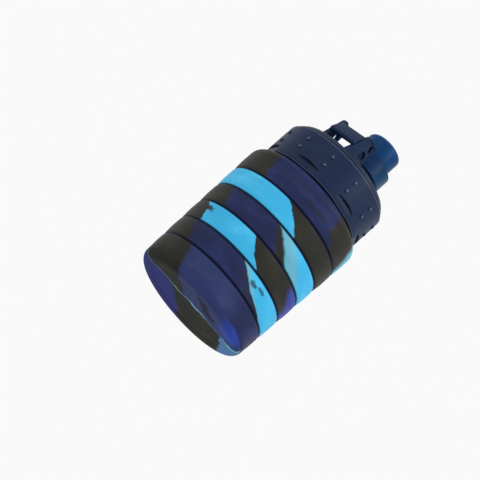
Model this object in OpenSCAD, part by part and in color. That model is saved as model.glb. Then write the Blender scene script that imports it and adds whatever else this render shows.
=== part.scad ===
// Folding water bottle: a ribbed silicone body that presses down flat, under a screw lid
// that carries a loop and a twist spout. Millimetres, +Z up, origin at the middle of the base.

/* [Body] */
// Outer radius of the body, carried down to the table
body_r = 38.5; // [34:0.1:44]
// Widening of the body's radius from the table to the shoulder
body_flare = 2.4; // [0:0.1:4]
// Thickness of the silicone wall
wall = 2.4; // [1.8:0.1:3]
// Thickness of the floor
floor_t = 3.2; // [2.6:0.1:5]
// Height of the lowest band, which stays stiff
base_band_h = 17.2; // [14:0.1:22]
// Height of each of the bands above it
band_h = 13.9; // [11:0.1:16]
// Radius of the fold grooves between the bands
groove_r = 1.1; // [0.6:0.1:1.4]
// Distance of each groove's centre outside the body's surface
groove_out = 0.15; // [0:0.05:0.4]
// Rounding of the lower edge and of the shoulder
edge_r = 4.4; // [3:0.1:5]
// Depth of the recess in the underside
foot_recess = 0.8; // [0.4:0.1:1.2]
// Radius of the recess in the underside
foot_recess_r = 29; // [24:0.5:31]

/* [Neck] */
// Radius of the mouth inside the neck ring
mouth_r = 27.4; // [24:0.1:28]
// Outer radius of the neck ring where the silicone grips it
neck_r = 30.8; // [30:0.1:31.2]
// Outer radius of the neck ring's threaded part
thread_r = 32.6; // [32:0.1:33]
// Thickness of the silicone sleeve round the neck ring
sleeve_t = 1.8; // [1.4:0.1:2]
// Length of the neck ring below the shoulder
neck_skirt_l = 6; // [3:0.5:10]

/* [Lid] */
// Outer radius of the lid collar
lid_r = 36.5; // [36:0.1:38]
// Height of the collar from its lower edge to its rounded top edge
collar_h = 22.4; // [20:0.1:26]
// Wall of the collar
collar_wall = 2.1; // [1.6:0.1:2.3]
// Gap between the shoulder and the collar
lid_gap = 1.6; // [1:0.1:3]
// Height of the collar's slotted skirt
skirt_h = 4.6; // [3.5:0.1:6]
// Number of slots round the skirt
slots = 7; // [5:1:8]
// Length of each slot, in degrees round the collar
slot_deg = 26; // [14:1:34]
// Angle of the first slot
slot_start_deg = 34; // [0:1:60]
// Number of pairs of grip bumps
bump_pairs = 12; // [8:1:16]
// Angle of the first pair of grip bumps
bump_start_deg = 20.5; // [0:0.5:30]
// Radius of a grip bump
bump_r = 1.3; // [1:0.1:2]
// Height of the lower row of bumps above the collar's lower edge
bump_low = 9.4; // [7.5:0.1:11]
// Distance between the two rows of bumps
bump_pitch = 6.7; // [5:0.1:8]
// Height of the top plate above the collar's side wall
rim_h = 4.1; // [3.4:0.1:5]
// Radius of the lid's top plate
top_r = 33.5; // [32.5:0.1:33.8]
// Thickness of the lid's top plate
top_t = 4; // [3.4:0.1:5]
// How far the lid rises as it is unscrewed
lid_rise = 4.5; // [3:0.1:6]

/* [Carry loop] */
// Distance of the ears' outer faces from the middle plane, at their rear foot
ear_half = 9.4; // [8:0.1:11]
// Angle by which each ear turns outward as it runs forward
ear_spread_deg = 9; // [0:1:20]
// Thickness of each ear
ear_t = 2.2; // [2:0.1:3.2]
// Height of the ears above the top plate
ear_h = 20; // [18:0.1:24]
// Length of the ears at their feet
ear_l = 19.6; // [16:0.1:21]
// Distance of the ears' rear foot behind the bottle's axis
ear_back = 28; // [25:0.1:29]
// Radius of the round cord hole
cord_hole_r = 2.9; // [2:0.05:3.4]
// Width of the small oval hole above it
small_hole_w = 2.6; // [2:0.1:3]
// Length of the small oval hole
small_hole_l = 4.7; // [4:0.1:5.4]
// Thickness of the crossbar
bar_t = 3.2; // [2.4:0.1:3.6]

/* [Spout] */
// Distance of the spout's axis from the bottle's axis
spout_x = 13.9; // [12:0.1:14.5]
// Outer radius of the twist knob
knob_r = 15.2; // [14:0.1:15.5]
// Height of the knob's lower edge above the top plate
knob_lift = 11.6; // [10:0.1:16]
// Height of the twist knob
knob_h = 12.3; // [9:0.1:15]
// Outer radius of the mouthpiece
mouth_piece_r = 11.7; // [10:0.1:12.4]
// Height of the mouthpiece above the knob
mouth_piece_h = 12; // [10:0.1:13]
// Radius of the drinking hole
drink_r = 4; // [3:0.1:4.5]
// How far the spout rises as it is turned open
spout_rise = 3.6; // [2.5:0.1:3.8]

/* [Hidden] */
$fn = 96;
bands = 5;                // folding bands above the lowest one, with a groove under each
eps = 0.05;               // overlap that makes a cut or a join clean
fit = 0.05;               // radial clearance of parts that turn on each other
fold_z0 = base_band_h;
fold_z1 = base_band_h + bands * band_h;
shoulder_z = fold_z1 + edge_r;
lid_z = shoulder_z + lid_gap;
collar_top_z = lid_z + collar_h;
top_z = collar_top_z + rim_h;        // upper face of the top plate
top_under_z = top_z - top_t;
gasket_t = 1.8;
neck_top_z = top_under_z - gasket_t;
sleeve_r = neck_r + sleeve_t;
sleeve_h = 8;                        // height of the sleeve above the shoulder
clamp_t = 1.2;
flange_z = shoulder_z + sleeve_h;    // flange of the neck ring, above the sleeve
flange_t = 2;
flange_r = thread_r + 1;
thread_h = 1;                        // how far the thread's ridges stand out
ridge_t = 1.8;
ridge_z = [flange_z + 4.2, neck_top_z - 2.6];
land_z = neck_top_z - 7;             // the lid's thread land, long enough for the lid's rise
land_h = lid_rise + 0.5;
collar_in_r = lid_r - collar_wall;
collar_round_r = 2.6;                // rounding of the collar's top edge
slot_h = 0.9;
slot_z = lid_z + skirt_h;
strip_inset = 1.2;                   // the flat strip under a slot is this deep at its middle
bump_z = [lid_z + bump_low, lid_z + bump_low + bump_pitch];
bump_sink = 0.3;                     // a bump's centre lies this far inside the wall
top_round_r = 1.4;
ear_top_z = top_z + ear_h;
ear_front_r = 3.4;                   // roundings of the ears' upper corners
ear_rear_r = 4;
ear_front_lean = 0.6;                // how far the front edge leans back, over the whole height
ear_rear_lean = 7;                   // how far the rear edge leans forward
ear_ease = 0.55;                     // the arcs of the upper corners start this far inside
cord_hole_at = [14, 9];              // from the rear foot, along the ear and up
small_hole_up = [0.9, 6.6];          // from the cord hole, along X and Z
small_hole_tilt = -20;
bar_foot = [3.0, 8.4];               // centres of the bar's round edges, from the rear foot
bar_head = [7.2, 15.3];
knob_z = top_z + knob_lift;
knob_top_z = knob_z + knob_h;
knob_chamfer = 1.6;
lip_z = knob_top_z + mouth_piece_h;  // upper end of the mouthpiece
lip_round_r = 3;
cavity_r = drink_r + 4.6;            // hollow above the stem
oring_r = 0.9;
oring_z = knob_z + 1.7;
stem_r = 12.4;                       // tube that the knob turns on
stem_in_r = 10.2;
stem_top_z = oring_z + oring_r + spout_rise + 1;
plug_z1 = lip_z - 0.7;               // the valve's plug, clear of the hole when the spout is up
plug_z0 = plug_z1 - 6.7;
drink_z = plug_z1 + 0.9 - spout_rise;
post_r = 2.4;
spoke_t = 1.8;
spoke_h = 2.4;
hub_h = 3;

// Outer radius of the body at a height
function skin_r(z) = body_r + body_flare * z / shoulder_z;

// Points of an arc about c, from angle a to angle b, in steps of about 15 degrees
function arc(c, r, a, b) =
    let (n = ceil(abs(b - a) / 15))
    [for (i = [0 : n]) c + r * [cos(a + (b - a) * i / n), sin(a + (b - a) * i / n)]];

module ring(r_in, r_out, z0, z1) {
    translate([0, 0, z0]) difference() {
        cylinder(r = r_out, h = z1 - z0);
        translate([0, 0, -eps]) cylinder(r = r_in, h = z1 - z0 + 2 * eps);
    }
}

// The fold grooves, as circles in the half section
module groove_sections() {
    for (i = [0 : bands - 1]) {
        z = fold_z0 + i * band_h;
        translate([skin_r(z) + groove_out, z]) circle(r = groove_r, $fn = 32);
    }
}

module silicone_base() {
    color("midnightblue") rotate_extrude() difference() {
        union() {
            polygon([[0, 0], [skin_r(0) - edge_r, 0], [skin_r(edge_r), edge_r],
                [skin_r(fold_z0), fold_z0], [0, fold_z0]]);
            intersection() {
                translate([skin_r(0) - edge_r, edge_r]) circle(r = edge_r);
                square([skin_r(0), edge_r]);
            }
        }
        square([foot_recess_r, foot_recess]);
        translate([0, floor_t]) square([skin_r(0) - wall, fold_z0]);
        groove_sections();
    }
}

// One folding band of the body's wall, cut at the middle of its grooves
module silicone_band(number) {
    z0 = fold_z0 + (number - 2) * band_h;
    z1 = z0 + band_h;
    color(number % 2 == 0 ? "darkslateblue" : "deepskyblue") rotate_extrude() difference() {
        polygon([[skin_r(z0) - wall, z0], [skin_r(z0), z0], [skin_r(z1), z1], [skin_r(z1) - wall, z1]]);
        groove_sections();
    }
}

// The shoulder turns in under the lid and ends in a sleeve that the neck ring fills
module silicone_neck() {
    shoulder_in = skin_r(fold_z1) - wall;
    color("darkslateblue") rotate_extrude() difference() {
        union() {
            polygon([[shoulder_in, fold_z1], [skin_r(fold_z1), fold_z1],
                [skin_r(fold_z1) - edge_r, shoulder_z], [neck_r, shoulder_z],
                [neck_r, shoulder_z - wall], [shoulder_in, fold_z1 + 1]]);
            intersection() {
                translate([skin_r(fold_z1) - edge_r, fold_z1]) circle(r = edge_r);
                translate([skin_r(fold_z1) - edge_r, fold_z1]) square(edge_r + 1);
            }
            translate([neck_r, shoulder_z - eps]) square([sleeve_t, flange_z - shoulder_z + eps]);
        }
        groove_sections();
    }
}

// Rigid ring that the silicone is stretched over and the lid screws on to
module neck_ring() {
    color("dimgray") rotate_extrude() translate([mouth_r, 0]) union() {
        translate([0, shoulder_z - neck_skirt_l])
            square([neck_r - mouth_r, flange_z - shoulder_z + neck_skirt_l + eps]);
        translate([0, flange_z]) square([flange_r - mouth_r, flange_t]);
        translate([0, flange_z + flange_t - eps])
            square([thread_r - mouth_r - thread_h, neck_top_z - flange_z - flange_t + eps]);
        for (z = ridge_z) translate([0, z]) square([thread_r - mouth_r, ridge_t]);
    }
}

module clamp_ring() {
    color("slategray") ring(sleeve_r, sleeve_r + clamp_t, shoulder_z, flange_z);
}

module lid_gasket() {
    color("lightgray") ring(mouth_r + 0.4, thread_r - 1.2, neck_top_z, top_under_z);
}

// One slot and, under it, the flat that is cut off the round of the skirt
module skirt_slot() {
    flat_w = 2 * lid_r * sin(slot_deg / 2);
    rotate(-slot_deg / 2) rotate_extrude(angle = slot_deg)
        translate([collar_in_r - 1, slot_z]) square([collar_wall + 2, slot_h]);
    translate([lid_r - strip_inset, -flat_w / 2, lid_z - 1])
        cube([strip_inset + 1, flat_w, skirt_h + 1 - eps]);
}

module lid_collar() {
    color("darkslategray") difference() {
        union() {
            rotate_extrude() difference() {
                union() {
                    translate([collar_in_r, lid_z]) square([collar_wall, collar_h]);
                    translate([thread_r + fit, land_z]) square([collar_in_r - thread_r, land_h]);
                    translate([thread_r - 0.4, top_under_z - 1.4])
                        square([collar_in_r - thread_r + 1, 1.4]);
                    intersection() {
                        translate([lid_r - collar_round_r, collar_top_z]) circle(r = collar_round_r);
                        translate([top_r, collar_top_z - eps])
                            square([collar_round_r + 1, collar_round_r]);
                    }
                }
                translate([0, top_under_z]) square([top_r, top_t]);
            }
            for (i = [1 : bump_pairs], z = bump_z)
                rotate(bump_start_deg + 360 / bump_pairs * i) translate([lid_r - bump_sink, 0, z])
                    sphere(r = bump_r, $fn = 24);
        }
        for (i = [0 : slots - 1])
            rotate(slot_start_deg + 360 / slots * i) skirt_slot();
    }
}

module lid_top() {
    color("darkslategray") difference() {
        rotate_extrude() difference() {
            translate([0, top_under_z]) square([top_r, top_t]);
            difference() {
                translate([top_r - top_round_r, top_z - top_round_r]) square(top_round_r + 1);
                translate([top_r - top_round_r, top_z - top_round_r]) circle(r = top_round_r);
            }
        }
        translate([spout_x, 0, top_under_z - eps]) cylinder(r = stem_in_r, h = top_t + 2 * eps);
    }
}

// Outline of an ear, from its rear foot: sloping sides and rounded upper corners
module ear_outline() {
    polygon(concat(
        [[ear_l, 0]],
        arc([ear_l - ear_front_lean - ear_front_r, ear_h - ear_front_r], ear_front_r, 5, 90),
        arc([ear_rear_lean + ear_rear_r - ear_ease, ear_h - ear_rear_r], ear_rear_r, 90, 160),
        [[0, 0]]));
}

// One ear on its foot, turned outward
module ear() {
    translate([-ear_back, -ear_half, top_z]) rotate(-ear_spread_deg)
        translate([0, ear_t, 0]) rotate([90, 0, 0]) linear_extrude(ear_t) ear_outline();
}

// The bar between the ears' rear edges: a flat strip with two round edges
module crossbar() {
    run = bar_head - bar_foot;
    width = 2 * (ear_half - ear_t / 2 + bar_head[0] * sin(ear_spread_deg));
    for (c = [bar_foot, bar_head])
        translate([c[0], width / 2, c[1]]) rotate([90, 0, 0]) cylinder(r = bar_t / 2, h = width);
    translate([bar_foot[0], -width / 2, bar_foot[1]]) rotate([0, atan2(run[0], run[1]), 0])
        translate([-bar_t / 2, 0, 0]) cube([bar_t, width, norm(run)]);
}

module small_cord_hole() {
    half_l = (small_hole_l - small_hole_w) / 2;
    translate([small_hole_up[0], 0, small_hole_up[1]]) rotate([0, small_hole_tilt, 0]) {
        for (z = [-half_l, half_l]) translate([0, 0, z]) rotate([90, 0, 0])
            cylinder(r = small_hole_w / 2, h = 4 * ear_half, center = true);
        cube([small_hole_w, 4 * ear_half, 2 * half_l], center = true);
    }
}

module carry_loop() {
    color("darkslategray") difference() {
        union() {
            ear();
            mirror([0, 1, 0]) ear();
            translate([-ear_back, 0, top_z]) crossbar();
        }
        translate([cord_hole_at[0] * cos(ear_spread_deg) - ear_back, 0, top_z + cord_hole_at[1]]) {
            rotate([90, 0, 0]) cylinder(r = cord_hole_r, h = 4 * ear_half, center = true);
            small_cord_hole();
        }
    }
}

module spout_stem() {
    color("navy") translate([spout_x, 0, 0]) ring(stem_in_r, stem_r, top_z, stem_top_z);
}

// Post that plugs the drinking hole from inside, on three spokes in the stem
module valve_post() {
    color("gainsboro") translate([spout_x, 0, 0]) {
        translate([0, 0, top_z]) cylinder(r = post_r, h = plug_z0 - top_z + eps);
        translate([0, 0, plug_z0]) cylinder(r = drink_r - fit, h = plug_z1 - plug_z0);
        ring(stem_in_r - spoke_t, stem_in_r, top_z, top_z + hub_h);
        for (a = [90 : 120 : 330])
            rotate(a) translate([1, -spoke_t / 2, top_z]) cube([stem_in_r - 2, spoke_t, spoke_h]);
    }
}

module spout_oring() {
    color("black") translate([spout_x, 0, oring_z])
        rotate_extrude() translate([stem_r + fit + oring_r, 0]) circle(r = oring_r, $fn = 32);
}

module twist_knob() {
    color("royalblue") translate([spout_x, 0, 0]) rotate_extrude() difference() {
        polygon([[stem_r + fit, knob_z], [knob_r, knob_z], [knob_r, knob_top_z - knob_chamfer],
            [mouth_piece_r + 0.8, knob_top_z], [cavity_r, knob_top_z],
            [cavity_r, knob_top_z - knob_chamfer], [stem_r + fit, knob_top_z - knob_chamfer]]);
        translate([stem_r, oring_z - oring_r - fit])
            square([2 * (oring_r + fit) + fit, 2 * (oring_r + fit)]);
    }
}

module mouthpiece() {
    color("dodgerblue") translate([spout_x, 0, 0]) rotate_extrude() difference() {
        translate([0, knob_top_z]) square([mouth_piece_r, mouth_piece_h]);
        translate([0, knob_top_z - 1]) square([cavity_r, drink_z - knob_top_z + 1]);
        translate([0, knob_top_z]) square([drink_r, mouth_piece_h + 1]);
        difference() {
            translate([mouth_piece_r - lip_round_r, lip_z - lip_round_r]) square(lip_round_r + 1);
            translate([mouth_piece_r - lip_round_r, lip_z - lip_round_r]) circle(r = lip_round_r);
        }
    }
}

silicone_base();
silicone_band(2);  // silicone_band_2
silicone_band(3);  // silicone_band_3
silicone_band(4);  // silicone_band_4
silicone_band(5);  // silicone_band_5
silicone_band(6);  // silicone_band_6
silicone_neck();
neck_ring();
clamp_ring();
lid_gasket();
lid_collar();
lid_top();
carry_loop();
spout_stem();
valve_post();
spout_oring();
twist_knob();
mouthpiece();
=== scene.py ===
"""Folding water bottle: the visual model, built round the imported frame."""
import math

import bpy
from mathutils import Matrix, Vector


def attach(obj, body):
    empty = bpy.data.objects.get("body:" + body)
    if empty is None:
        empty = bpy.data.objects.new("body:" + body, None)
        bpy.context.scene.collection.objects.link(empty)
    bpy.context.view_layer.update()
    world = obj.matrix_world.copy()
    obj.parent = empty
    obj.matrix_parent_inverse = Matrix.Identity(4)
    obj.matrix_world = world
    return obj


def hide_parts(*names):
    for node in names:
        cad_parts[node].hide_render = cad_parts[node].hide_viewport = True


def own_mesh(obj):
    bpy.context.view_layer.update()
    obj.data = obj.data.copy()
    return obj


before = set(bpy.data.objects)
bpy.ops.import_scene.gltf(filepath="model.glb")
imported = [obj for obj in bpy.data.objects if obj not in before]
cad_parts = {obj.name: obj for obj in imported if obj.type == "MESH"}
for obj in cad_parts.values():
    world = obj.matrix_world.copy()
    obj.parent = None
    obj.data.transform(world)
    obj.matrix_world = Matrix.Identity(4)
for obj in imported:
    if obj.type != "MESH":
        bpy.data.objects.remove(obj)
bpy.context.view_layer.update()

MM = 0.001
SEGMENTS = 192            # faces round the body and the lid
REST = "rest_mm"          # attribute: a vertex's place at rest, in millimetres

# Heights and radii of the object, in millimetres, as the CAD has them
BAND_H = 13.9
FOLD_Z = [17.2 + BAND_H * i for i in range(6)]
SHOULDER_ROUND = 4.4
SHOULDER_Z = FOLD_Z[-1] + SHOULDER_ROUND
SKIN_WALL = 2.4
SLEEVE_R = 30.8
SLEEVE_TOP_Z = 99.1
LID_Z = 92.7
LID_R = 36.5
COLLAR_TOP_Z = 115.1
TOP_Z = 119.2
TOP_R = 33.5
SPOUT_X = 13.9
STEM_TOP_Z = 140.7
KNOB_Z = 130.8
KNOB_TOP_Z = 143.1
LIP_Z = 155.1
EAR_BACK = 28.0           # rear foot of the ears, behind the axis
EAR_Y = 9.4
EAR_T = 2.2
EAR_L = 19.6
EAR_H = 20.0
EAR_SPREAD = math.radians(9)
BAR_FOOT = Vector((3.0, 8.4))   # middles of the bar's round edges, from the ears' rear foot
BAR_HEAD = Vector((7.2, 15.3))
BAR_ROUND = 1.6
CORD_HOLE = (13.83, 9.0, 2.9)   # place on the ear from its rear foot, and radius
SMALL_HOLE = (14.74, 15.6)

# The direction that the pattern's angles are counted from, round the bottle's axis
PATTERN_TURN = math.radians(146)


# ---------------------------------------------------------------- geometry helpers

def skin_r(z):
    """Outer radius of the silicone body at a height."""
    return 38.5 + 2.4 * z / SHOULDER_Z


def smooth(a, b, x):
    """Smooth step from 0 at a to 1 at b."""
    t = min(1.0, max(0.0, (x - a) / (b - a)))
    return t * t * (3 - 2 * t)


def rounded(corners, closed=True, step=12.0):
    """Points of an outline whose corners are (x, y, rounding radius)."""
    points = []
    count = len(corners)
    for i, (x, y, radius) in enumerate(corners):
        here = Vector((x, y))
        if radius <= 0 or (not closed and i in (0, count - 1)):
            points.append((x, y))
            continue
        before = (Vector(corners[i - 1][:2]) - here).normalized()
        after = (Vector(corners[(i + 1) % count][:2]) - here).normalized()
        half = before.angle(after) / 2
        reach = radius / math.tan(half)
        centre = here + (before + after).normalized() * (radius / math.sin(half))
        start = here + before * reach - centre
        turn = start.angle_signed(here + after * reach - centre)
        steps = max(2, round(abs(math.degrees(turn)) / step))
        for k in range(steps + 1):
            offset = start.copy()
            offset.rotate(Matrix.Rotation(-turn * k / steps, 2))
            points.append(tuple(centre + offset))
    return points


def arc(x, z, radius, a, b, step=8):
    """Points of an arc in a plane, between two angles in degrees."""
    count = max(1, round(abs(b - a) / step))
    angles = [math.radians(a + (b - a) * i / count) for i in range(count + 1)]
    return [(x + radius * math.cos(t), z + radius * math.sin(t)) for t in angles]


def finish_mesh(name, verts, faces):
    """Makes an object from millimetre vertices, with smooth shading and outward normals."""
    mesh = bpy.data.meshes.new(name)
    mesh.from_pydata([[c * MM for c in v] for v in verts], [], faces)
    obj = bpy.data.objects.new(name, mesh)
    bpy.context.scene.collection.objects.link(obj)
    clean(obj)
    return obj


def clean(obj):
    """Merges doubled points, turns normals outward and shades smooth up to an angle."""
    sharp = math.radians(38)
    import bmesh
    mesh = obj.data
    bm = bmesh.new()
    bm.from_mesh(mesh)
    bmesh.ops.remove_doubles(bm, verts=bm.verts, dist=0.002 * MM)
    bmesh.ops.dissolve_degenerate(bm, edges=bm.edges, dist=0.0005 * MM)
    bmesh.ops.recalc_face_normals(bm, faces=bm.faces)
    for face in bm.faces:
        face.smooth = True
    for edge in bm.edges:
        if len(edge.link_faces) == 2:
            edge.smooth = edge.calc_face_angle() < sharp
    bm.to_mesh(mesh)
    bm.free()
    mesh.update()


def keep_rest(obj):
    """Stores each vertex's rest place, so that a pattern stays put when the piece is squashed."""
    attribute = obj.data.attributes.new(REST, "FLOAT_VECTOR", "POINT")
    flat = [c / MM for v in obj.data.vertices for c in v.co]
    attribute.data.foreach_set("vector", flat)


def loft(loops, close_rows=False):
    """Faces between loops of equal length, the last of them joined to the first if asked."""
    verts = [v for loop in loops for v in loop]
    n = len(loops[0])
    rows = len(loops) if close_rows else len(loops) - 1
    faces = []
    for i in range(rows):
        a, b = i * n, ((i + 1) % len(loops)) * n
        for k in range(n):
            k2 = (k + 1) % n
            faces.append((a + k, a + k2, b + k2, b + k))
    return verts, faces


def circle(radius, z, x=0.0, segments=SEGMENTS):
    """A level circle of points."""
    step = math.tau / segments
    return [(x + radius * math.cos(step * k), radius * math.sin(step * k), z) for k in range(segments)]


def revolve(name, profile, x=0.0, segments=SEGMENTS, closed=True):
    """Turns a half section of (radius, z) points round an upright axis."""
    loops = [circle(max(r, 1e-4), z, x, segments) for r, z in profile]
    verts, faces = loft(loops, close_rows=closed)
    return finish_mesh(name, verts, faces)


def curve_plate(name, outlines, thickness, bevel, place):
    """A flat plate with bevelled edges from outlines; the first is outer, the rest are holes."""
    curve = bpy.data.curves.new(name, "CURVE")
    curve.dimensions = "2D"
    curve.fill_mode = "BOTH"
    curve.extrude = (thickness / 2 - bevel) * MM
    curve.bevel_depth = bevel * MM
    curve.offset = -bevel * MM
    curve.bevel_resolution = 3
    for outline in outlines:
        spline = curve.splines.new("POLY")
        spline.points.add(len(outline) - 1)
        for point, (x, y) in zip(spline.points, outline):
            point.co = (x * MM, y * MM, 0, 1)
        spline.use_cyclic_u = True
    return bake_curve(name, curve, place)


def tube(name, points, radius, place):
    """A round tube along points, used for raised rims."""
    curve = bpy.data.curves.new(name, "CURVE")
    curve.dimensions = "3D"
    curve.bevel_depth = radius * MM
    curve.bevel_resolution = 4
    curve.use_fill_caps = True
    spline = curve.splines.new("POLY")
    spline.points.add(len(points) - 1)
    for point, (x, y, z) in zip(spline.points, points):
        point.co = (x * MM, y * MM, z * MM, 1)
    return bake_curve(name, curve, place)


def bake_curve(name, curve, place):
    """Turns a curve into a mesh object at its place."""
    source = bpy.data.objects.new(name + "_curve", curve)
    bpy.context.scene.collection.objects.link(source)
    mesh = bpy.data.meshes.new_from_object(source.evaluated_get(bpy.context.evaluated_depsgraph_get()))
    bpy.data.objects.remove(source)
    bpy.data.curves.remove(curve)
    mesh.transform(place)
    mesh.name = name
    obj = bpy.data.objects.new(name, mesh)
    bpy.context.scene.collection.objects.link(obj)
    clean(obj)
    return obj


def join(name, objects):
    """Joins mesh objects that stand at the origin into one."""
    verts, faces = [], []
    for obj in objects:
        base = len(verts)
        verts += [tuple(c / MM for c in v.co) for v in obj.data.vertices]
        faces += [tuple(base + i for i in p.vertices) for p in obj.data.polygons]
        mesh = obj.data
        bpy.data.objects.remove(obj)
        bpy.data.meshes.remove(mesh)
    return finish_mesh(name, verts, faces)


# ---------------------------------------------------------------- material helpers

def srgb(r, g, b):
    """Linear colour from display values of 0 to 255."""
    def lin(c):
        c /= 255
        return c / 12.92 if c <= 0.04045 else ((c + 0.055) / 1.055) ** 2.4
    return (lin(r), lin(g), lin(b), 1.0)


class Nodes:
    """Short calls for building one material's node tree."""

    def __init__(self, name):
        self.material = bpy.data.materials.new(name)
        self.material.use_nodes = True
        self.tree = self.material.node_tree
        self.bsdf = self.tree.nodes["Principled BSDF"]

    def link(self, value, socket):
        if isinstance(value, bpy.types.NodeSocket):
            self.tree.links.new(value, socket)
        else:
            socket.default_value = value

    def add(self, kind, inputs=(), output=0, **settings):
        node = self.tree.nodes.new(kind)
        for key, value in settings.items():
            setattr(node, key, value)
        for key, value in dict(inputs).items():
            self.link(value, node.inputs[key])
        return node.outputs[output]

    def math(self, op, a, b=0.0, c=0.0):
        return self.add("ShaderNodeMath", {0: a, 1: b, 2: c}, operation=op)

    def step(self, value, at, soft):
        """0 below at, 1 above it, over a width of soft."""
        return self.add(
            "ShaderNodeMapRange",
            {"Value": value, "From Min": self.shift(at, -soft / 2), "From Max": self.shift(at, soft / 2)},
            interpolation_type="SMOOTHSTEP",
        )

    def band(self, value, at, half, soft):
        """1 within half of at, 0 outside it."""
        off = self.math("ABSOLUTE", self.math("SUBTRACT", value, at))
        return self.math("SUBTRACT", 1.0, self.step(off, half, soft))

    def bend(self, height, points):
        """A value that runs straight from point to point of (height, value), lowest first."""
        value = points[0][1]
        for (z0, v0), (z1, v1) in zip(points, points[1:]):
            part = self.add(
                "ShaderNodeMapRange",
                {"Value": height, "From Min": z0, "From Max": z1, "To Min": 0.0, "To Max": v1 - v0},
            )
            value = self.math("ADD", part, value)
        return value

    def shift(self, at, by):
        return self.math("ADD", at, by) if isinstance(at, bpy.types.NodeSocket) else at + by

    def mix(self, factor, a, b):
        node = self.tree.nodes.new("ShaderNodeMix")
        node.data_type = "RGBA"
        self.link(factor, node.inputs[0])
        self.link(a, node.inputs[6])
        self.link(b, node.inputs[7])
        return node.outputs[2]

    def noise(self, vector, scale, detail=2.0, rough=0.5):
        return self.add(
            "ShaderNodeTexNoise",
            {"Vector": vector, "Scale": scale, "Detail": detail, "Roughness": rough},
        )

    def split(self, vector):
        """The x, y and z of a vector."""
        parts = self.tree.nodes.new("ShaderNodeSeparateXYZ")
        self.link(vector, parts.inputs[0])
        return parts.outputs

    def sway(self, value, reach):
        """A noise value turned into a shift of up to reach either way."""
        return self.math("MULTIPLY_ADD", value, 2 * reach, -reach)

    def stretch(self, vector, scale):
        return self.add("ShaderNodeVectorMath", {0: vector, 1: scale}, operation="MULTIPLY")

    def object_mm(self):
        """The point on the object, in millimetres."""
        place = self.add("ShaderNodeTexCoord", output=3)
        return self.stretch(place, (1 / MM, 1 / MM, 1 / MM))

    def bump(self, height, strength, distance):
        normal = self.add(
            "ShaderNodeBump", {"Height": height, "Strength": strength, "Distance": distance * MM}
        )
        self.link(normal, self.bsdf.inputs["Normal"])

    def surface(self, color, roughness, specular):
        self.link(color, self.bsdf.inputs["Base Color"])
        self.link(roughness, self.bsdf.inputs["Roughness"])
        self.link(specular, self.bsdf.inputs["Specular IOR Level"])
        return self.material


CYAN = srgb(57, 168, 213)
NAVY = srgb(30, 38, 74)
BLACK = srgb(38, 38, 34)
INDIGO = srgb(48, 62, 146)
VIVID = srgb(46, 74, 170)
TEAL = srgb(94, 164, 186)
DUSK = srgb(32, 38, 60)
DENIM = srgb(42, 52, 92)
# painted shade: the dark navy laid into the grooves' creases
GROOVE_NAVY_SHADE = srgb(14, 20, 46)


SILICONE_SHEEN = 0.10
GROOVE_HALF = 0.74        # half the height of a groove's dark line


def silicone(name, first, edges, spots=(), groove_zs=(), underside=False):
    """Marbled silicone. edges are (angle, softness, colour) from left to right, and at each
    the colour changes; the angle is a number, or points of (height, angle), lowest first.
    spots are (angle, height, half width, half height, colour, strength)."""
    n = Nodes(name)
    rest = n.add("ShaderNodeAttribute", attribute_name=REST, output=1)
    turned = n.add(
        "ShaderNodeVectorRotate", {"Vector": rest, "Angle": PATTERN_TURN}, rotation_type="Z_AXIS"
    )
    toward, side, height = n.split(turned)
    angle = n.math("MULTIPLY", n.math("ARCTAN2", side, toward), 180 / math.pi)
    # the layers of silicone flow into each other along wavy, slightly ragged edges
    wave = n.noise(n.stretch(rest, (1, 1, 1.4)), 0.11, 1.0)
    ragged = n.noise(rest, 0.42, 3.0, 0.6)
    warp = n.math("ADD", n.sway(wave, 2.5), n.sway(ragged, 1.7))
    warped = n.math("ADD", angle, warp)
    color = layer(n, first, rest)
    for at, soft, shade in edges:
        where = n.bend(height, at) if isinstance(at, list) else at
        color = n.mix(n.step(warped, where, soft), color, layer(n, shade, rest))
    for spot in spots:
        color = paint_spot(n, color, warped, height, ragged, *spot)
    sheen = SILICONE_SHEEN
    if underside:
        color = paint_underside(n, color, rest, toward, side, height, ragged)
        sheen = n.math("MULTIPLY_ADD", n.step(height, 5.0, 9.0), SILICONE_SHEEN - 0.01, 0.01)
    # the grooves are painted dark navy: partly the navy layer, mostly painted shade in the creases
    for z in groove_zs:
        deep = n.band(height, z, GROOVE_HALF, 0.34)
        color = n.mix(n.math("MULTIPLY", deep, 0.94), color, GROOVE_NAVY_SHADE)
    grain = n.noise(rest, 3.2, 4.0, 0.65)
    smear = n.noise(n.stretch(rest, (0.3, 0.3, 1.0)), 0.5, 3.0, 0.6)
    rough = n.math("MULTIPLY_ADD", smear, 0.16, 0.42)
    relief = n.math("ADD", n.math("MULTIPLY", grain, 0.5), n.math("MULTIPLY", smear, 0.8))
    n.bump(relief, 0.12, 0.12)
    return n.surface(color, rough, sheen)


def paint_spot(n, color, angle, height, ragged, at, z, half_w, half_h, shade, strength):
    """One ragged oval of another colour at an angle and a height."""
    dx = n.math("DIVIDE", n.math("SUBTRACT", angle, at), half_w)
    dz = n.math("DIVIDE", n.math("SUBTRACT", height, z), half_h)
    away = n.math("ADD", n.math("MULTIPLY", dx, dx), n.math("MULTIPLY", dz, dz))
    away = n.math("ADD", away, n.sway(ragged, 1.2))
    inside = n.math("SUBTRACT", 1.0, n.step(away, 0.9, 1.1))
    return n.mix(n.math("MULTIPLY", inside, strength), color, shade)


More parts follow.
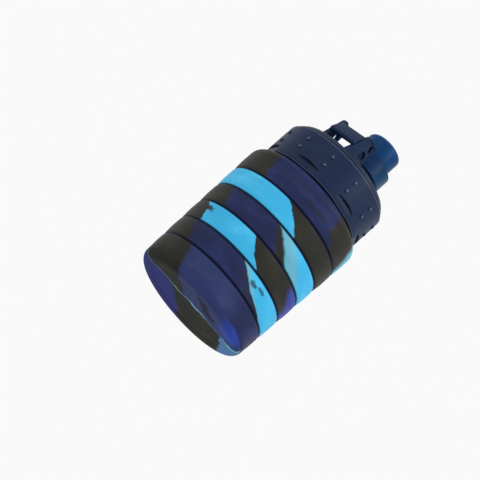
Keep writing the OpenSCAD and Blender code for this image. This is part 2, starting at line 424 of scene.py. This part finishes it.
LAYER_TINTS = {
    NAVY: (srgb(42, 52, 104), 0.6, srgb(24, 28, 54), 0.6),
    DENIM: (srgb(58, 68, 108), 0.5, srgb(34, 43, 82), 0.5),
    DUSK: (srgb(40, 48, 84), 0.5, srgb(30, 33, 42), 0.6),
    BLACK: (srgb(60, 54, 44), 0.5, srgb(32, 32, 31), 0.4),
    CYAN: (srgb(88, 196, 234), 0.55, srgb(48, 156, 202), 0.4),
    TEAL: (srgb(116, 186, 204), 0.5, srgb(72, 134, 154), 0.6),
    INDIGO: (srgb(62, 80, 172), 0.4, srgb(34, 42, 92), 0.5),
    VIVID: (srgb(58, 88, 190), 0.4, srgb(38, 52, 120), 0.5),
}


def layer(n, shade, rest):
    """One colour of the marbling, with its own wide, soft streaks and fine mottling."""
    light, light_share, dark, dark_share = LAYER_TINTS[shade]
    streak = n.noise(n.stretch(rest, (0.45, 0.45, 1.0)), 0.13, 2.0, 0.5)
    mottle = n.noise(rest, 0.9, 3.0, 0.6)
    blend = n.math("MULTIPLY_ADD", mottle, 0.3, n.math("MULTIPLY", streak, 0.7))
    mask = n.step(blend, 0.60, 0.26)
    color = n.mix(n.math("MULTIPLY", mask, light_share), shade, light)
    mask = n.math("SUBTRACT", 1.0, n.step(blend, 0.42, 0.24))
    return n.mix(n.math("MULTIPLY", mask, dark_share), color, dark)


def paint_underside(n, color, rest, toward, side, height, ragged):
    """The underside: black and navy with a vivid patch on the near half, and indigo, black and
    teal behind a thin pale line. Each split is a slanting line between two colours."""
    wobble = n.math("ADD", n.sway(n.noise(rest, 0.09, 2.0), 4.5), n.sway(ragged, 1.2))
    forward = n.math("ADD", toward, wobble)
    across = n.math("ADD", side, wobble)
    low = n.math("SUBTRACT", 1.0, n.step(height, 3.0, 1.8))

    split = n.math("MULTIPLY_ADD", forward, -0.47, -2.7)
    # painted light: the near half's navy is lightened as if lit from below
    navy_painted_lit = n.mix(0.5, layer(n, NAVY, rest), srgb(58, 68, 112))
    near = n.mix(n.step(across, split, 3.0), layer(n, BLACK, rest), navy_painted_lit)
    patch = n.math("MULTIPLY", n.band(across, 27.0, 7.5, 8.0), n.band(forward, 25.0, 11.0, 14.0))
    near = n.mix(n.math("MULTIPLY", patch, 0.75), near, layer(n, VIVID, rest))
    diagonal = n.math("MULTIPLY_ADD", forward, -0.62, 20.3)
    blotch = n.math("MULTIPLY", n.band(across, diagonal, 4.0, 4.0), n.band(forward, 22.0, 9.0, 5.0))
    near = n.mix(n.math("MULTIPLY", blotch, 0.8), near, srgb(24, 26, 34))

    split = n.math("MULTIPLY_ADD", forward, -0.42, -12.4)
    far = n.mix(n.step(across, split, 2.5), srgb(40, 46, 102), layer(n, BLACK, rest))
    split = n.math("MULTIPLY_ADD", forward, -0.27, 25.7)
    far = n.mix(n.step(across, split, 2.0), far, srgb(72, 112, 156))

    under = n.mix(n.step(forward, 7.0, 1.0), far, near)
    wide = n.math("ADD", n.band(side, 3.0, 5.0, 8.0), n.step(side, 27.0, 8.0))
    half_width = n.math("MULTIPLY_ADD", wide, 0.8, 0.25)
    line = n.math("MULTIPLY", n.band(forward, n.shift(half_width, 7.0), half_width, 0.6), 0.75)
    under = n.mix(line, under, srgb(112, 176, 190))
    return n.mix(low, color, under)


def moulded(name, shade, other, rough, grain=2.4, specular=0.16, painted_side_light=None, shade_and_highlight_bands=()):
    """Moulded plastic: faint cloudy colour, fine spark-eroded grain, uneven gloss and scuffs.
    The side-light tint (direction, start, end, colour, amount) is painted reflected light on one side. The
    painted bands (radius, height, half width, half height, colour) round the axis are painted shade in
    grooves and slits and painted highlights on edges and tips."""
    n = Nodes(name)
    place = n.object_mm()
    cloud = n.noise(place, 0.09, 3.0, 0.55)
    color = n.mix(n.step(cloud, 0.5, 0.4), shade, other)
    # painted reflected light: a teal tint that grows towards one side
    if painted_side_light:
        direction, start, end, painted_tint, amount = painted_side_light
        along = n.add("ShaderNodeVectorMath", {0: place, 1: direction}, operation="DOT_PRODUCT", output=1)
        share = n.add(
            "ShaderNodeMapRange", {"Value": along, "From Min": start, "From Max": end},
            interpolation_type="SMOOTHSTEP",
        )
        color = n.mix(n.math("MULTIPLY", share, amount), color, painted_tint)
    scuff = n.step(n.noise(n.stretch(place, (1.0, 1.0, 0.35)), 1.1, 6.0, 0.72), 0.66, 0.10)
    color = n.mix(n.math("MULTIPLY", scuff, 0.10), color, srgb(110, 120, 140))
    # painted shade and painted highlights: bands of colour round the axis
    if shade_and_highlight_bands:
        height = n.split(place)[2]
        flat = n.stretch(place, (1.0, 1.0, 0.0))
        radius = n.add("ShaderNodeVectorMath", {0: flat}, operation="LENGTH", output=1)
        for r, z, half_r, half_z, painted_tint in shade_and_highlight_bands:
            painted_band = n.math("MULTIPLY", n.band(radius, r, half_r, 0.3), n.band(height, z, half_z, 0.3))
            color = n.mix(n.math("MULTIPLY", painted_band, 0.85), color, painted_tint)
    fine = n.noise(place, grain, 3.0, 0.7)
    gloss = n.math("MULTIPLY_ADD", n.noise(place, 0.35, 4.0, 0.6), 0.22, rough - 0.11)
    gloss = n.math("ADD", gloss, n.math("MULTIPLY", scuff, 0.12))
    n.bump(fine, 0.10, 0.08)
    return n.surface(color, gloss, specular)


# ---------------------------------------------------------------- camera, stage and light

def add_camera():
    """A long lens below the base, looking up along the bottle, rolled so that it leans right."""
    elevation = math.radians(-17.05)
    azimuth = math.radians(-56.0)
    roll = math.radians(48.55)
    distance = 1148 * MM
    aim = Vector((-4.7, 6.9, 47.9)) * MM
    back = Vector((
        math.sin(azimuth) * math.cos(elevation),
        -math.cos(azimuth) * math.cos(elevation),
        math.sin(elevation),
    ))
    data = bpy.data.cameras.new("camera")
    data.sensor_width = 36
    data.lens = 154.0
    data.clip_start = 0.05
    data.clip_end = 20
    camera = bpy.data.objects.new("camera", data)
    bpy.context.scene.collection.objects.link(camera)
    level = (-back).to_track_quat("-Z", "Y")
    camera.rotation_mode = "QUATERNION"
    camera.rotation_quaternion = level @ Matrix.Rotation(roll, 4, "Z").to_quaternion()
    camera.location = aim + back * distance
    bpy.context.scene.camera = camera


def add_floor():
    """A pale floor that is seen from above only, since the camera looks up from under it."""
    n = Nodes("floor_pale")
    place = n.add("ShaderNodeTexCoord", output=3)
    cloud = n.noise(place, 3.0, 2.0)
    n.surface(n.mix(cloud, (0.80, 0.80, 0.80, 1), (0.84, 0.84, 0.845, 1)), 0.75, 0.2)
    clear = n.add("ShaderNodeBsdfTransparent")
    under = n.add("ShaderNodeNewGeometry", output=6)
    both = n.add("ShaderNodeMixShader", {0: under, 1: n.bsdf.outputs[0], 2: clear})
    output = n.tree.nodes["Material Output"]
    n.link(both, output.inputs["Surface"])
    mesh = bpy.data.meshes.new("floor")
    half = 6.0
    sink = -0.2 * MM
    corners = [(-half, -half, sink), (half, -half, sink), (half, half, sink), (-half, half, sink)]
    mesh.from_pydata(corners, [], [(0, 1, 2, 3)])
    mesh.materials.append(n.material)
    floor = bpy.data.objects.new("floor", mesh)
    bpy.context.scene.collection.objects.link(floor)
    floor.visible_diffuse = False
    floor.visible_glossy = False
    floor.visible_transmission = False
    floor.visible_shadow = False


def add_light(name, direction, distance, size, power):
    """A soft square light that faces the middle of the bottle."""
    data = bpy.data.lights.new(name, "AREA")
    data.size = size
    data.energy = power
    light = bpy.data.objects.new(name, data)
    target = Vector((0, 0, 0.075))
    toward = Vector(direction).normalized()
    light.location = target + toward * distance
    light.rotation_mode = "QUATERNION"
    light.rotation_quaternion = (-toward).to_track_quat("-Z", "Y")
    light.visible_camera = False
    bpy.context.scene.collection.objects.link(light)


def add_lights():
    """Bright even surroundings, a soft key from above the lid and a weaker fill."""
    bpy.context.scene.view_settings.view_transform = "Standard"
    world = bpy.data.worlds.new("studio")
    world.use_nodes = True
    background = world.node_tree.nodes["Background"]
    background.inputs["Color"].default_value = (1.0, 1.0, 1.0, 1)
    background.inputs["Strength"].default_value = 0.95
    bpy.context.scene.world = world
    add_light("key", (-0.1, -0.8, 0.7), 0.9, 0.3, 3.4)
    add_light("fill", (-0.9, 0.1, 0.3), 1.0, 0.5, 0.8)


# ---------------------------------------------------------------- silicone body

GROOVE_REACH = 1.55       # how far a groove's rounding reaches into each band
GROOVE_STEPS = [
    (0.02, GROOVE_REACH), (-0.04, 1.15), (-0.16, 0.88), (-0.38, 0.66), (-0.70, 0.46),
    (-0.98, 0.20), (-1.05, 0.0),
]
CROWN = 0.22              # how far a band's wall swells between its grooves


def groove_end(z, top):
    """Half of a groove's section at one end of a band, from the surface to the groove's middle."""
    r = skin_r(z)
    sign = -1 if top else 1
    points = [(r + dr, z + sign * dz) for dr, dz in GROOVE_STEPS]
    return points if top else points[::-1]


def band_profile(z0, z1, top_groove):
    """Section of one band: a slightly crowned wall between half grooves."""
    outer = groove_end(z0, False)
    count = 6
    for i in range(1, count):
        t = i / count
        z = z0 + GROOVE_REACH + (z1 - z0 - 2 * GROOVE_REACH) * t
        outer.append((skin_r(z) + CROWN * math.sin(math.pi * t), z))
    outer += groove_end(z1, True) if top_groove else [(skin_r(z1), z1)]
    return outer + [(skin_r(z1) - SKIN_WALL, z1), (skin_r(z0) - SKIN_WALL, z0)]


def build_band(number, material):
    """One folding band, which sinks with its own body and flattens as the bottle is pressed."""
    z0, z1 = FOLD_Z[number - 2], FOLD_Z[number - 1]
    node = f"silicone_band_{number}"
    obj = revolve(f"body_band_{number}", band_profile(z0, z1, number < 6))
    keep_rest(obj)
    obj.data.materials.append(material)
    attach(obj, "base" if number == 2 else f"band_{number}")
    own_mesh(obj)
    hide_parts(node)


def build_base(material):
    """The stiff lowest band with its rounded foot, shallow recess and floor."""
    z1 = FOLD_Z[0]
    r0 = skin_r(0)
    inner = skin_r(4) - SKIN_WALL
    foot = rounded([
        (0.0, 0.4, 0), (27.6, 0.4, 3.0), (29.8, 0.0, 3.0), (r0 - 0.05, 0.0, 4.5), (skin_r(8), 8, 0),
    ], closed=False, step=9)
    wall = [(skin_r(z) + 0.12, z) for z in (9.5, 11.5, 13.5)]
    inside = rounded([
        (skin_r(z1) - SKIN_WALL, z1, 0), (inner, 3.2, 2.5), (0.0, 3.2, 0),
    ], closed=False)
    profile = foot + wall + groove_end(z1, True) + inside
    obj = revolve("body_base", profile, closed=False)
    keep_rest(obj)
    obj.data.materials.append(material)
    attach(obj, "base")
    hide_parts("silicone_base")


def build_neck(material):
    """The shoulder under the lid and the sleeve round the neck ring."""
    z0 = FOLD_Z[-1]
    r = skin_r(z0)
    curve = arc(r - SHOULDER_ROUND, z0, SHOULDER_ROUND, 0, 90, 6)
    sleeve = [(32.9, SHOULDER_Z), (32.6, SHOULDER_Z + 0.3), (32.6, SLEEVE_TOP_Z), (SLEEVE_R, SLEEVE_TOP_Z)]
    under_z = SHOULDER_Z - SKIN_WALL
    inside = [(SLEEVE_R, under_z), (r - SKIN_WALL - 1.4, under_z), (r - SKIN_WALL, z0)]
    obj = revolve("body_shoulder", curve + sleeve + inside)
    keep_rest(obj)
    obj.data.materials.append(material)
    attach(obj, "neck")
    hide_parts("silicone_neck")


# ---------------------------------------------------------------- lid

SLOT_COUNT = 7
SLOT_START = 34.0
SLOT_HALF = 13.0
SLIT_HALF = 12.0
SLOT_Z = 97.2
FLAT_DEPTH = 1.2
BUMP_START = 20.5
BUMP_R = 1.3


def skirt_flat(degrees):
    """How deep the skirt's flat lies at an angle, and how open the slit above it is."""
    pitch = 360 / SLOT_COUNT
    away = abs((degrees - SLOT_START + pitch / 2) % pitch - pitch / 2)
    if away >= SLOT_HALF:
        return 0.0, 0.0
    depth = LID_R - (LID_R - FLAT_DEPTH) / math.cos(math.radians(away))
    return depth, max(0.0, 1 - (away / SLIT_HALF) ** 2)


def collar_section(degrees):
    """Outer section of the collar at an angle: the skirt, a slit if there is one, wall and rim."""
    depth, slit = skirt_flat(degrees)
    low_r = LID_R - depth
    top = SLOT_Z + 0.04 + 0.9 * slit
    points = [
        (34.5, LID_Z), (low_r - 0.5, LID_Z), (low_r - 0.14, LID_Z + 0.14), (low_r, LID_Z + 0.5),
        (low_r, SLOT_Z - 1.6), (low_r, SLOT_Z - 0.25), (low_r - 0.06 * slit, SLOT_Z - 0.06),
        (low_r - 0.25 * slit, SLOT_Z), (low_r - 0.7 * slit, SLOT_Z + 0.02),
        (LID_R - 1.7 * slit, top - 0.02), (LID_R - 0.3 * slit, top), (LID_R - 0.06 * slit, top + 0.1),
        (LID_R, top + 0.3),
    ]
    points += [(LID_R + 0.05 * math.sin(math.pi * t / 6), 99.4 + 2.3 * t) for t in range(7)]
    edge = rounded([
        (LID_R, 113.5, 0), (LID_R, 115.0, 0.55), (35.7, 115.0, 0.15), (35.55, 114.4, 0),
    ], closed=False, step=20)
    rim = rounded([
        (35.2, 114.4, 0), (35.2, 116.4, 0.8), (34.2, 117.6, 0.5), (33.7, 117.6, 0),
    ], closed=False, step=20)
    return points + edge + rim + [(33.7, 115.3), (34.4, 115.0), (34.4, 94.0)]


def build_bump(degrees, z):
    """A small domed grip bump that runs softly into the collar's wall."""
    foot = [(BUMP_R * 0.98, 0.02), (BUMP_R * 1.12, -0.06), (BUMP_R * 1.3, -0.5)]
    cap = [
        (BUMP_R * math.sin(math.radians(a)), 0.98 * math.cos(math.radians(a)))
        for a in range(0, 85, 12)
    ]
    dome = revolve("bump", cap + foot, segments=20, closed=False)
    upright = Matrix.Rotation(math.radians(90), 4, "Y")
    turn = Matrix.Rotation(math.radians(degrees), 4, "Z")
    out = Matrix.Translation(Vector((LID_R * MM, 0, z * MM)))
    dome.data.transform(turn @ out @ upright)
    return dome


def build_collar(material):
    """The screw collar: skirt with flats and slits, wall with grip bumps, and a rim."""
    columns = 720
    sections = [collar_section(360 * k / columns) for k in range(columns)]
    loops = []
    for row in range(len(sections[0])):
        loop = []
        for k, section in enumerate(sections):
            r, z = section[row]
            angle = math.tau * k / columns
            loop.append((r * math.cos(angle), r * math.sin(angle), z))
        loops.append(loop)
    shell = finish_mesh("shell", *loft(loops, close_rows=True))
    bumps = [build_bump(BUMP_START + 30 * i, z) for i in range(12) for z in (102.1, 108.8)]
    obj = join("lid_collar_shell", [shell] + bumps)
    obj.data.materials.append(material)
    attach(obj, "lid")
    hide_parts("lid_collar")


def build_top(material):
    """The lid's top plate: a rounded rim round a slightly sunken deck, with the spout's port."""
    under_z = 115.2
    deck_z = TOP_Z - 0.5
    deck_r = 30.9
    port_r = 11.4
    rows = 8
    rim = rounded([
        (TOP_R, under_z, 0), (TOP_R, TOP_Z, 1.3), (31.9, TOP_Z, 0.3), (31.5, deck_z, 0.25),
        (deck_r, deck_z, 0),
    ], closed=False)
    loops = [circle(r, z) for r, z in rim]
    for i in range(1, rows + 1):
        t = i / rows
        loops.append(circle(deck_r + (port_r - deck_r) * t, deck_z, SPOUT_X * t))
    loops.append(circle(port_r, under_z, SPOUT_X))
    obj = finish_mesh("lid_top_plate", *loft(loops, close_rows=True))
    obj.data.materials.append(material)
    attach(obj, "lid")
    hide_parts("lid_top")


def ear_outline():
    """Outline of an ear, from its rear foot: sloping sides and rounded upper corners."""
    front_r, rear_r = 3.4, 4.0
    foot_z = -0.6
    front = arc(EAR_L - 4.0, EAR_H - front_r, front_r, 5, 90)
    rear = arc(10.45, EAR_H - rear_r, rear_r, 90, 160)
    return [(EAR_L, foot_z)] + front + rear + [(-0.1, foot_z)]


def oval_hole(x, z):
    """The small cord hole: an oval that leans back."""
    half, radius = 1.05, 1.3
    outline = arc(0, half, radius, 0, 180, 15) + arc(0, -half, radius, 180, 360, 15)
    tilt = math.radians(20)
    return [
        (x + u * math.cos(tilt) - v * math.sin(tilt), z + u * math.sin(tilt) + v * math.cos(tilt))
        for u, v in outline
    ]


def build_loop(material):
    """The carry loop: two spread ears with cord holes and raised rims, and a bar between them."""
    upright = Matrix.Rotation(math.radians(90), 4, "X")
    outline = ear_outline()
    holes = [arc(*CORD_HOLE, 0, 350, 10), oval_hole(*SMALL_HOLE)]
    foot = Vector((-EAR_BACK, 0, TOP_Z)) * MM
    pieces = []
    for side in (1, -1):
        ear = (
            Matrix.Translation(foot + Vector((0, side * EAR_Y * MM, 0)))
            @ Matrix.Rotation(side * EAR_SPREAD, 4, "Z")
        )
        inward = Matrix.Translation((0, -side * EAR_T / 2 * MM, 0))
        pieces.append(curve_plate("ear", [outline, *holes], EAR_T, 0.3, ear @ inward @ upright))
        edge = [(x, -side * 0.12, z) for x, z in inset(outline, 0.62)]
        pieces.append(tube("rim", edge, 0.5, ear))
    run = BAR_HEAD - BAR_FOOT
    lean = math.degrees(math.atan2(run.y, run.x))
    section = arc(*BAR_HEAD, BAR_ROUND, lean - 90, lean + 90, 15)
    section += arc(*BAR_FOOT, BAR_ROUND, lean + 90, lean + 270, 15)
    width = 2 * (EAR_Y - EAR_T / 2 + BAR_HEAD.x * math.sin(EAR_SPREAD))
    pieces.append(curve_plate("bar", [section], width, 0.3, Matrix.Translation(foot) @ upright))
    obj = join("carry_loop_frame", pieces)
    obj.data.materials.append(material)
    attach(obj, "lid")
    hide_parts("carry_loop")


def inset(outline, distance):
    """An open outline moved inward by a distance."""
    moved = []
    count = len(outline)
    for i, (x, z) in enumerate(outline):
        x0, z0 = outline[max(0, i - 1)]
        x1, z1 = outline[min(count - 1, i + 1)]
        length = math.hypot(x1 - x0, z1 - z0)
        moved.append((x - (z1 - z0) / length * distance, z + (x1 - x0) / length * distance))
    return moved


# ---------------------------------------------------------------- spout

def build_stem(material):
    """The tube that the knob turns on, with a fillet at its foot."""
    profile = rounded([
        (10.2, TOP_Z - 0.5, 0), (14.0, TOP_Z - 0.5, 0), (13.7, TOP_Z + 0.1, 0.3), (12.4, TOP_Z + 1.2, 1.4),
        (12.4, STEM_TOP_Z, 0.3), (10.2, STEM_TOP_Z, 0.3),
    ])
    obj = revolve("spout_tube", profile, x=SPOUT_X, segments=128)
    obj.data.materials.append(material)
    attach(obj, "lid")
    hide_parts("spout_stem")


def build_knob(material):
    """The lower tier of the spout: a lip, a plain grip and a chamfer under the mouthpiece."""
    profile = rounded([
        (12.55, KNOB_Z, 0.2), (15.2, KNOB_Z, 0.5), (15.2, KNOB_Z + 1.3, 0.3), (15.0, KNOB_Z + 1.6, 0.3),
        (15.0, KNOB_TOP_Z - 1.9, 0.5), (12.2, KNOB_TOP_Z, 0.5), (8.6, KNOB_TOP_Z, 0.3),
        (8.6, KNOB_TOP_Z - 1.6, 0.2), (12.55, KNOB_TOP_Z - 1.6, 0.4),
    ])
    obj = revolve("knob_grip", profile, x=SPOUT_X, segments=128)
    obj.data.materials.append(material)
    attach(obj, "spout")
    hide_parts("twist_knob")


def build_mouthpiece(material):
    """The upper tier: a soft mouthpiece with a rounded lip round the drinking hole."""
    profile = rounded([
        (8.6, KNOB_TOP_Z, 0.2), (11.7, KNOB_TOP_Z, 0.3), (11.65, LIP_Z, 3.0), (5.6, LIP_Z - 0.15, 0.6),
        (4.0, LIP_Z - 1.0, 0.7), (4.0, 151.7, 0.4), (8.6, 151.7, 0.8),
    ])
    obj = revolve("mouthpiece_soft", profile, x=SPOUT_X, segments=128)
    obj.data.materials.append(material)
    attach(obj, "spout")
    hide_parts("mouthpiece")


def dress(nodes, material):
    """Gives carried-over CAD nodes a better material."""
    for node in nodes:
        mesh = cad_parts[node].data
        mesh.materials.clear()
        mesh.materials.append(material)


# ---------------------------------------------------------------- the object

add_camera()
add_floor()
add_lights()

build_base(silicone(
    "silicone_base_marble", NAVY,
    [([(2, -140), (16, -152)], 3, CYAN), ([(2, -118), (16, -108)], 3, BLACK),
     ([(2, -30), (15, -37)], 4, DENIM), ([(2, 40), (16, 12)], 34, NAVY), ([(2, 112), (16, 98)], 3, BLACK),
     ([(2, 158), (16, 146)], 3, NAVY)],
    spots=[(-84, 6, 26, 8, srgb(24, 22, 18), 0.7), (48, 1.2, 13, 3.0, VIVID, 0.4)],
    groove_zs=[FOLD_Z[0]], underside=True,
))
build_band(2, silicone(
    "silicone_band_2_marble", BLACK,
    [([(17, -152), (31, -168)], 3, NAVY), ([(17, -122), (31, -110)], 3, BLACK),
     ([(18, -44), (30, -55)], 3, NAVY), ([(19, 18), (30, 0.8)], 9, DUSK),
     ([(17.3, 56), (22, 24), (30.6, 2)], 3, TEAL), ([(17.3, 60), (22, 29), (30.6, 9)], 7, CYAN),
     ([(17, 118), (31, 102)], 3, NAVY), ([(17, 170), (31, 160)], 3, BLACK)],
    spots=[(21, 26, 3.5, 1.6, srgb(34, 60, 78), 0.85), (30.5, 27.2, 4.5, 1.1, srgb(34, 60, 78), 0.75)],
    groove_zs=FOLD_Z[0:2],
))
build_band(3, silicone(
    "silicone_band_3_marble", CYAN,
    [([(31, -142), (45, -156)], 3, NAVY), ([(31, -106), (45, -96)], 3, BLACK),
     ([(32, -53), (40, -56), (44, -64)], 2, CYAN), ([(32, 14), (36, 4), (44, -7)], 1.6, BLACK),
     ([(35, 68), (40, 51)], 12, INDIGO), ([(31, 104), (45, 88)], 5, NAVY),
     ([(31, 158), (45, 144)], 3, CYAN)],
    spots=[(-57, 40.2, 7, 1.7, BLACK, 0.95), (-50, 38.6, 2.5, 0.4, DUSK, 0.6)],
    groove_zs=FOLD_Z[1:3],
))
build_band(4, silicone(
    "silicone_band_4_marble", NAVY,
    [([(45, -134), (59, -146)], 3, CYAN), ([(45, -99), (59, -91)], 3, BLACK),
     ([(46, -46), (58, -54)], 4, NAVY), ([(46, 13.6), (58, -2.4)], 6, BLACK),
     ([(46, 29), (58, 1.3)], 5, TEAL), ([(45, 56), (52, 36), (59, 17)], 18, CYAN),
     ([(45, 114), (59, 98)], 3, BLACK), ([(45, 168), (59, 154)], 3, NAVY)],
    groove_zs=FOLD_Z[2:4],
))
build_band(5, silicone(
    "silicone_band_5_marble", BLACK,
    [([(59, -144), (73, -156)], 6, TEAL), ([(59, -116), (73, -128)], 8, CYAN),
     ([(60, 15), (67, 2), (73, -12)], 1.6, BLACK), ([(59, 108), (73, 92)], 3, NAVY),
     ([(59, 157), (73, 143)], 3, BLACK)],
    groove_zs=FOLD_Z[3:5],
))
band_six = silicone(
    "silicone_band_6_marble", NAVY,
    [([(74, -124), (92, -138)], 3, BLACK), ([(74, -40), (90, -43)], 5, NAVY),
     ([(74.5, 43), (79, 31), (91, 27.5)], 6, BLACK), ([(74, 77), (90, 63)], 12, TEAL),
     ([(74, 108), (92, 90)], 4, NAVY)],
    spots=[
        (-3, 81.5, 20, 2.2, srgb(48, 56, 112), 0.35), (9, 79.5, 13, 1.8, srgb(34, 36, 44), 0.55),
        (-16, 82.5, 15, 1.6, srgb(36, 38, 50), 0.45),
    ],
    groove_zs=FOLD_Z[4:5],
)
build_band(6, band_six)
build_neck(band_six)

LID_COLORS = (srgb(9, 29, 60), srgb(17, 35, 65), 0.46)
build_collar(moulded("lid_plastic_collar", *LID_COLORS, shade_and_highlight_bands=[
    # painted shade in the groove between the wall's top edge and the rim
    (35.2, 115.2, 0.55, 1.0, srgb(4, 7, 16)),
    # painted highlight along the wall's rounded top edge
    (36.3, 114.8, 0.4, 0.3, srgb(76, 90, 118)),
    # painted shade inside the slits
    (34.9, 97.7, 1.2, 0.6, srgb(2, 4, 10)),
    # painted highlight along the skirt's lower edge
    (35.8, 92.9, 1.0, 0.25, srgb(62, 74, 98)),
    # painted highlight on the grip bumps' tips
    (37.45, 105.5, 0.3, 6.0, srgb(68, 80, 104)),
]))
lid_plastic = moulded("lid_plastic_navy", *LID_COLORS)
build_top(lid_plastic)
build_loop(moulded("loop_plastic_navy", srgb(3, 27, 56), srgb(10, 36, 68), 0.44, specular=0.12))
build_stem(moulded("stem_plastic_dark", srgb(10, 54, 98), srgb(14, 60, 106), 0.42, specular=0.10))
build_knob(moulded(
    "knob_plastic_blue", srgb(1, 34, 70), srgb(5, 42, 82), 0.36, specular=0.10,
    # painted reflected light: a teal tint on one side of the knob
    painted_side_light=((0.56, -0.83, -0.3), -30, -16, srgb(14, 68, 98), 0.8),
))
build_mouthpiece(moulded(
    "mouth_rubber_blue", srgb(2, 50, 92), srgb(6, 60, 108), 0.40, grain=1.6, specular=0.10))
dress(["clamp_ring"], lid_plastic)
dress(["neck_ring", "valve_post"], moulded(
    "white_plastic_natural", srgb(222, 224, 226), srgb(212, 214, 218), 0.38))
dress(["lid_gasket", "spout_oring"], moulded(
    "seal_rubber_grey", srgb(128, 130, 134), srgb(112, 114, 120), 0.55, grain=1.2))
